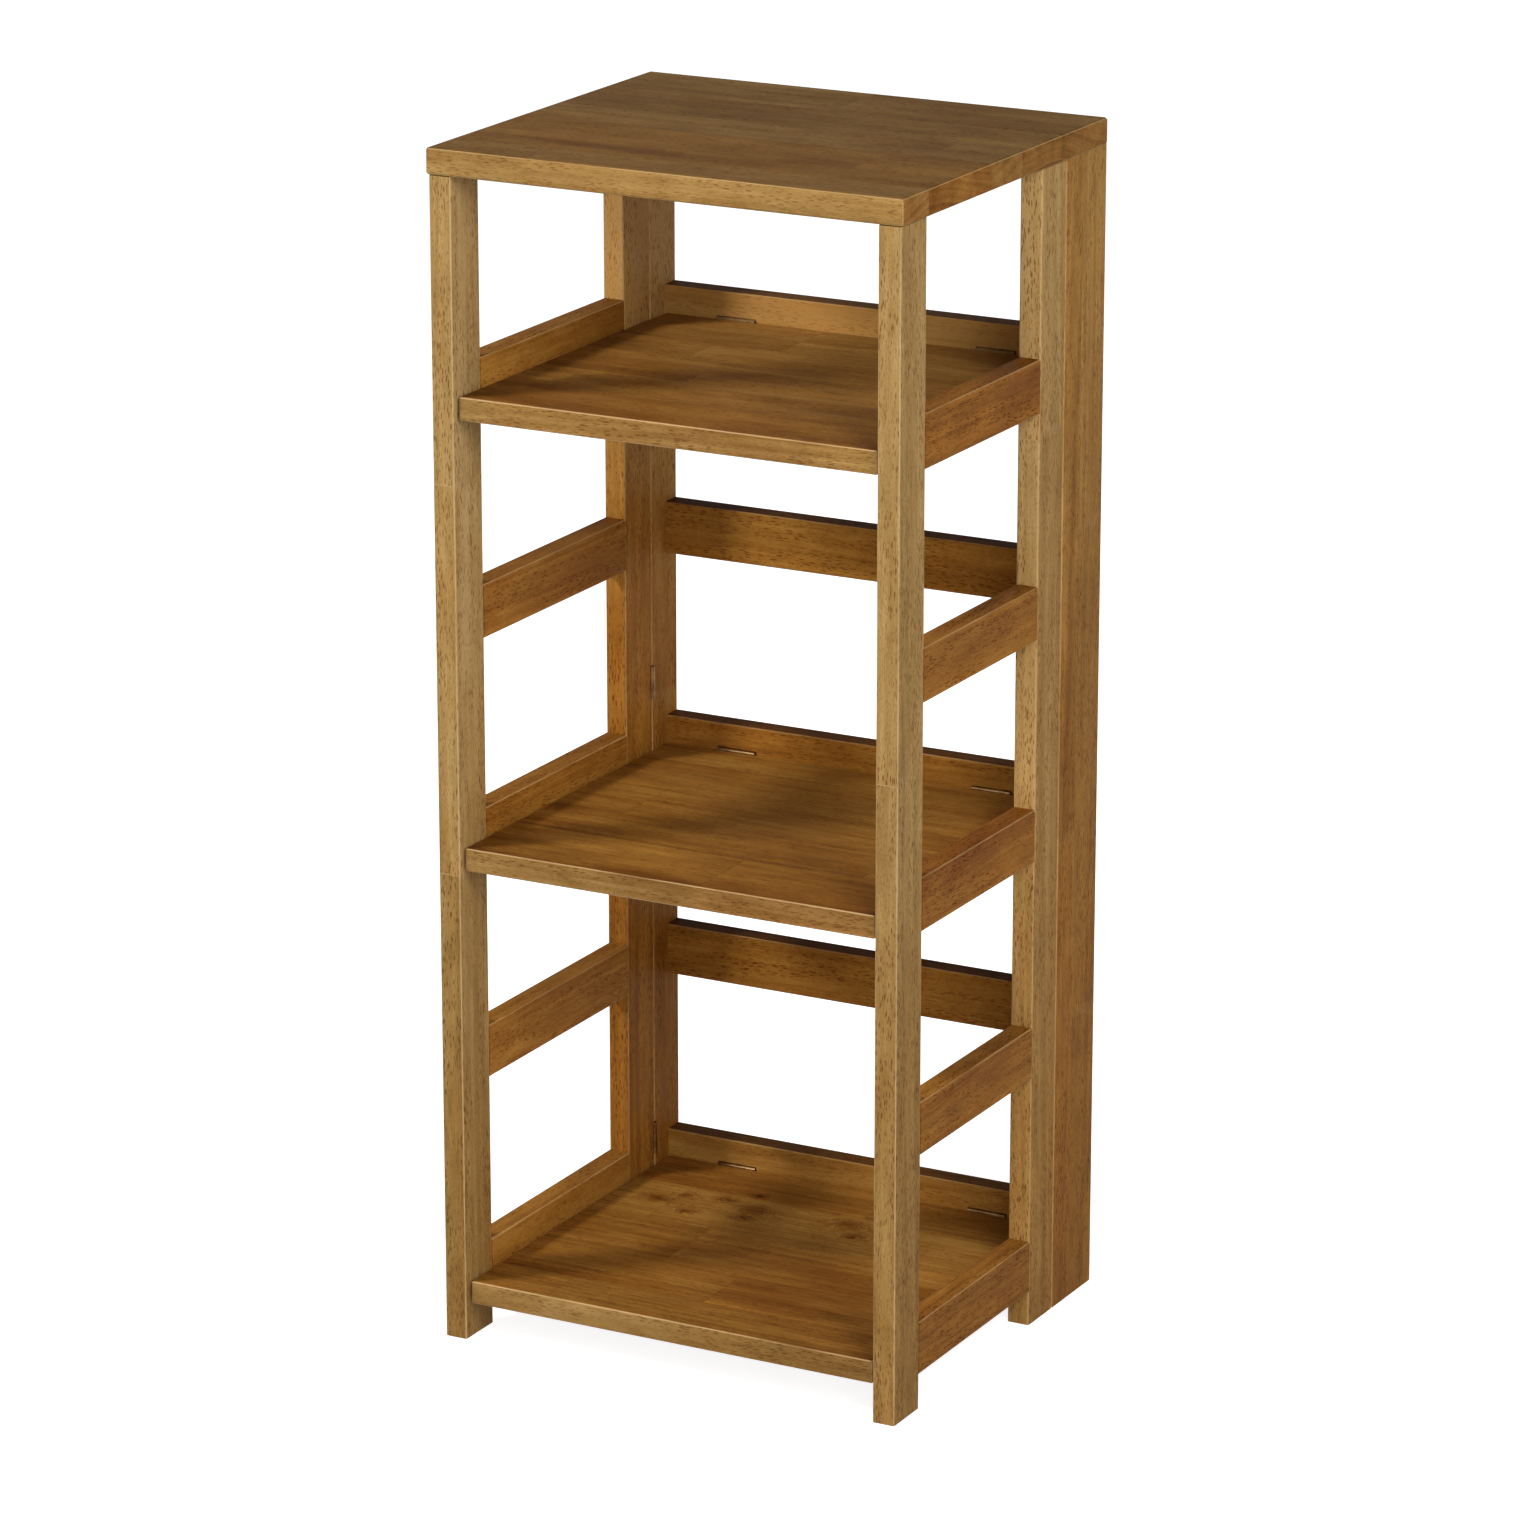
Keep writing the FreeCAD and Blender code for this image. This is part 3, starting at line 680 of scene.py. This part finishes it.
def stain_rails():
    wood("back_top_rail", "X", deep=0.8, tone=0.0, warmth=0.1, cloud=0.3, pores=0.9)
    # shade paints shade on the rails' upper faces, darkest on the back rails.
    for level, left, right, back in zip(LEVELS, LEFT_RAILS, RIGHT_RAILS, BACK_RAILS):
        tone, warmth = left
        wood(f"left_rail_{level}", "Y", 1.0, tone, warmth, cloud=1.0, pores=0.9, shade=0.3, rub_and_highlight=0.55)
        tone, warmth, shade = right
        wood(f"right_rail_{level}", "Y", 1.0, tone, warmth, cloud=1.0, shade=shade, rub_and_highlight=0.55)
        deep, tone, warmth, pores, breaks = back
        wood(f"back_rail_{level}", "X", deep, tone, warmth, 0.3, pores, breaks, shade=0.86, rub_and_highlight=0.4)


# The seams between the strips of each panel, from front to rear, and the knots of the lower shelf.
UPPER_SHELF_SEAMS = (-0.098, -0.041, 0.012, 0.070)
MIDDLE_SHELF_SEAMS = (-0.085, -0.030, 0.031, 0.084)
LOWER_SHELF_SEAMS = (-0.112, -0.055, 0.018, 0.089)
TOP_SEAMS = (-0.120, -0.028, 0.021, 0.083)
PAST_TOP = 0.2
LOWER_SHELF_KNOTS = (
    (-0.125, 0.055, 0.007),
    (-0.110, 0.071, 0.005),
    (-0.094, 0.043, 0.006),
    (-0.078, 0.077, 0.005),
    (-0.060, 0.093, 0.005),
    (-0.050, 0.065, 0.008),
    (-0.050, 0.049, 0.005),
    (0.025, 0.073, 0.008),
    (0.040, 0.052, 0.006),
    (0.072, 0.063, 0.005),
)
SHELF_PORES = (0.85, 0.6)


def stain_panels():
    # fade paints light and shade on each shelf: paler towards its rear, darker at both ends.
    wood(
        "upper_shelf", "X", deep=(0.0, 0.75), tone=(-0.5, 0.15), warmth=0.05, cloud=0.8,
        pores=SHELF_PORES, seams=UPPER_SHELF_SEAMS, length=0.33, rub_and_highlight=0.9, fade=0.9,
    )
    wood(
        "middle_shelf", "X", deep=(0.1, 0.95), tone=(0.2, 0.0), warmth=0.05, cloud=0.8,
        pores=SHELF_PORES, seams=MIDDLE_SHELF_SEAMS, length=0.36, rub_and_highlight=0.9, fade=0.55,
    )
    wood(
        "lower_shelf", "X", deep=(0.1, 0.95), tone=(-0.2, 0.05), warmth=0.05, cloud=0.7,
        pores=SHELF_PORES, seams=LOWER_SHELF_SEAMS, length=0.30, rub_and_highlight=0.9, fade=0.4,
        knots=LOWER_SHELF_KNOTS,
        reds=((LOWER_SHELF_SEAMS[2], LOWER_SHELF_SEAMS[3], -0.35),),
    )
    # The top panel's shade is painted shade on its upper face.
    wood(
        "top_panel", "X", deep=(0.1, 0.2), tone=-0.05, warmth=-0.05, cloud=0.6,
        pores=0.7, seams=TOP_SEAMS, length=0.38, shade=0.45, rub_and_highlight=1.35,
        reds=(
            (TOP_SEAMS[0], TOP_SEAMS[1], 0.75),
            (TOP_SEAMS[1], TOP_SEAMS[2], -0.3),
            (TOP_SEAMS[3], PAST_TOP, -0.2),
        ),
    )


stain_posts()
stain_rails()
stain_panels()


# ---------------------------------------------------------------- bare dowels, brass hinges, steel pins


METAL_RELIEF = 0.00005


def fleck(graph, point, per_metre, detail=2.0):
    """Soft noise that is the same in all directions."""
    return graph.noise(point, (per_metre, per_metre, per_metre), detail)


def bare_wood():
    material, graph = new_material("bare_beech")
    point = graph.add("ShaderNodeTexCoord").outputs["Object"]
    flecks = fleck(graph, point, 300.0, 3.0)
    broad = fleck(graph, point, 40.0)
    level = graph.total(flecks, graph.centred(broad, 0.5))
    shade = graph.ramp(level, ((0.3, (178, 142, 98)), (0.7, (214, 182, 136))))
    finish_wood(graph, shade, graph.total(0.62, graph.centred(flecks, 0.2)), flecks, 0.4)
    return material


def metal(name, dark, light, roughness, wear, bare=1.0):
    """Plated metal with a faint brushed grain, dulled patches and small dark specks.

    bare is 1 for bright metal, and less for a duller, less metallic copy that is painted shade.
    """
    material, graph = new_material(name)
    point = graph.add("ShaderNodeTexCoord").outputs["Object"]
    dull = fleck(graph, point, 120.0, 3.0)
    brushed = graph.noise(point, (400.0, 9000.0, 9000.0))
    specks = graph.fade(fleck(graph, point, 1800.0), 0.6, 0.75)
    shade = graph.ramp(graph.total(dull, graph.centred(brushed, 0.3)), ((0.3, dark), (0.7, light)))
    shade = graph.mix(graph.times(specks, wear), shade, colour(*dark))
    rough = graph.total(
        roughness,
        graph.centred(dull, 0.22),
        graph.centred(brushed, 0.12),
        graph.times(specks, 0.2),
    )
    height = graph.total(brushed, graph.times(specks, -0.5))
    surface = new_surface(graph, shade, rough, height, 0.25, METAL_RELIEF)
    surface.inputs["Metallic"].default_value = bare
    surface.inputs["Specular IOR Level"].default_value = 0.5 * bare
    return material


def cover_fittings():
    dowel = bare_wood()
    brass = metal("hinge_brass", (108, 78, 47), (164, 130, 88), 0.45, 0.6)
    # A duller copy of the brass for the upper shelf's hinges: painted shade, as they lie under the top.
    shaded_brass = metal("hinge_brass_shaded", (104, 76, 44), (150, 116, 72), 0.6, 0.6, bare=0.35)
    steel = metal("pin_steel", (120, 118, 114), (188, 187, 184), 0.3, 0.4)
    for name in sorted(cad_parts):
        if name.endswith("_dowels"):
            cover(name, dowel)
        elif name == "hinge_pins" or name.endswith("_shelf_pins"):
            cover(name, steel)
        elif name.startswith("upper_shelf_hinge"):
            cover(name, shaded_brass)
        elif "hinge" in name:
            cover(name, brass)


cover_fittings()


# ---------------------------------------------------------------- floor, surroundings, light and camera

# Heights are parts of the way up to straight overhead.
AMBIENT = 0.27
AMBIENT_FADE = (0.0, 0.6)
SWEEP_FADE = (0.06, 0.22)
CEILING = 0.1

# The floor, in metres: half its width, how far it is under the feet, and where it turns white.
FLOOR_HALF = 6.0
FLOOR_DROP = 0.0004
FLOOR_FADE = (0.3, 0.9)
FLOOR_WHITE = (0.87, 1.0)
MIDDLE_HEIGHT = 0.45


def background_ray(graph):
    """1 for a ray that shows the background itself, straight or mirrored, and 0 for its light."""
    path = graph.add("ShaderNodeLightPath").outputs
    seen = graph.math("MAXIMUM", path["Is Camera Ray"], path["Is Glossy Ray"])
    return graph.math("MAXIMUM", seen, path["Is Transmission Ray"])


def make_floor():
    """A pale floor just under the feet, which shows the shadow and turns white further out."""
    mesh = bpy.data.meshes.new("floor")
    near, far = -FLOOR_HALF, FLOOR_HALF
    mesh.from_pydata([(near, near, 0), (far, near, 0), (far, far, 0), (near, far, 0)], [], [(0, 1, 2, 3)])
    floor = bpy.data.objects.new("floor", mesh)
    scene.collection.objects.link(floor)
    floor.location.z = -FLOOR_DROP
    material, graph = new_material("pale_floor")
    point = graph.add("ShaderNodeTexCoord").outputs["Object"]
    lit = graph.add("ShaderNodeBsdfDiffuse")
    grain = fleck(graph, point, 300.0)
    graph.feed(lit.inputs["Color"], graph.mix(grain, grey(0.58), grey(0.62)))
    white = graph.add("ShaderNodeEmission")
    graph.feed(white.inputs["Color"], grey(1.0))
    level = graph.fade(graph.vector("LENGTH", point), *FLOOR_FADE, *FLOOR_WHITE)
    graph.feed(white.inputs["Strength"], graph.times(background_ray(graph), level))
    both = graph.add("ShaderNodeAddShader")
    graph.feed(both.inputs[0], lit.outputs[0])
    graph.feed(both.inputs[1], white.outputs[0])
    graph.feed(graph.add("ShaderNodeOutputMaterial").inputs["Surface"], both.outputs[0])
    mesh.materials.append(material)


def make_world():
    """Plain white to the camera. Reflections see a white sweep, and a dark studio ceiling above it."""
    world = bpy.data.worlds.new("studio")
    world.use_nodes = True
    scene.world = world
    graph = Graph(world.node_tree)
    height = graph.split(graph.add("ShaderNodeTexCoord").outputs["Generated"])[2]
    ambient = graph.add("ShaderNodeBackground")
    graph.feed(ambient.inputs["Strength"], graph.fade(height, *AMBIENT_FADE, AMBIENT, AMBIENT * 0.5))
    white = graph.add("ShaderNodeBackground")
    seen = graph.add("ShaderNodeLightPath").outputs["Is Camera Ray"]
    sweep = graph.fade(height, *SWEEP_FADE, 1.0, CEILING)
    graph.feed(white.inputs["Strength"], graph.math("MAXIMUM", seen, sweep))
    for sky in (ambient, white):
        graph.feed(sky.inputs["Color"], grey(1.0))
    blend = graph.add("ShaderNodeMixShader")
    graph.feed(blend.inputs[0], background_ray(graph))
    graph.feed(blend.inputs[1], ambient.outputs[0])
    graph.feed(blend.inputs[2], white.outputs[0])
    graph.feed(graph.add("ShaderNodeOutputWorld").inputs["Surface"], blend.outputs[0])


def softbox(name, azimuth, elevation, distance, size, power, glossy=True):
    """A square area light that looks at the middle of the bookcase from the given side."""
    light = bpy.data.lights.new(name, "AREA")
    light.shape = "SQUARE"
    light.size = size
    light.energy = power
    lamp = bpy.data.objects.new(name, light)
    scene.collection.objects.link(lamp)
    turn, lift = math.radians(azimuth), math.radians(elevation)
    x = math.sin(turn) * math.cos(lift) * distance
    y = -math.cos(turn) * math.cos(lift) * distance
    lamp.location = (x, y, math.sin(lift) * distance + MIDDLE_HEIGHT)
    lamp.rotation_euler = (math.pi / 2 - lift, 0.0, turn)
    lamp.visible_glossy = glossy


def make_camera():
    camera = bpy.data.objects.new("camera", bpy.data.cameras.new("camera"))
    scene.collection.objects.link(camera)
    camera.location = (2.0597, -3.8676, 1.7368)
    camera.rotation_euler = (math.radians(73.129), 0.0, math.radians(28.069))
    camera.data.sensor_width = 36.0
    camera.data.lens = 152.0
    camera.data.clip_start = 0.1
    camera.data.clip_end = 100.0
    scene.camera = camera


make_floor()
make_world()
softbox("right_light", azimuth=53, elevation=35, distance=2.8, size=1.2, power=36)
softbox("left_light", azimuth=-50, elevation=36, distance=2.8, size=0.5, power=56)
softbox("front_light", azimuth=35, elevation=14, distance=3.4, size=2.0, power=46)
softbox("back_light", azimuth=172, elevation=12, distance=3.2, size=2.2, power=24, glossy=False)
make_camera()
scene.view_settings.view_transform = "Standard"
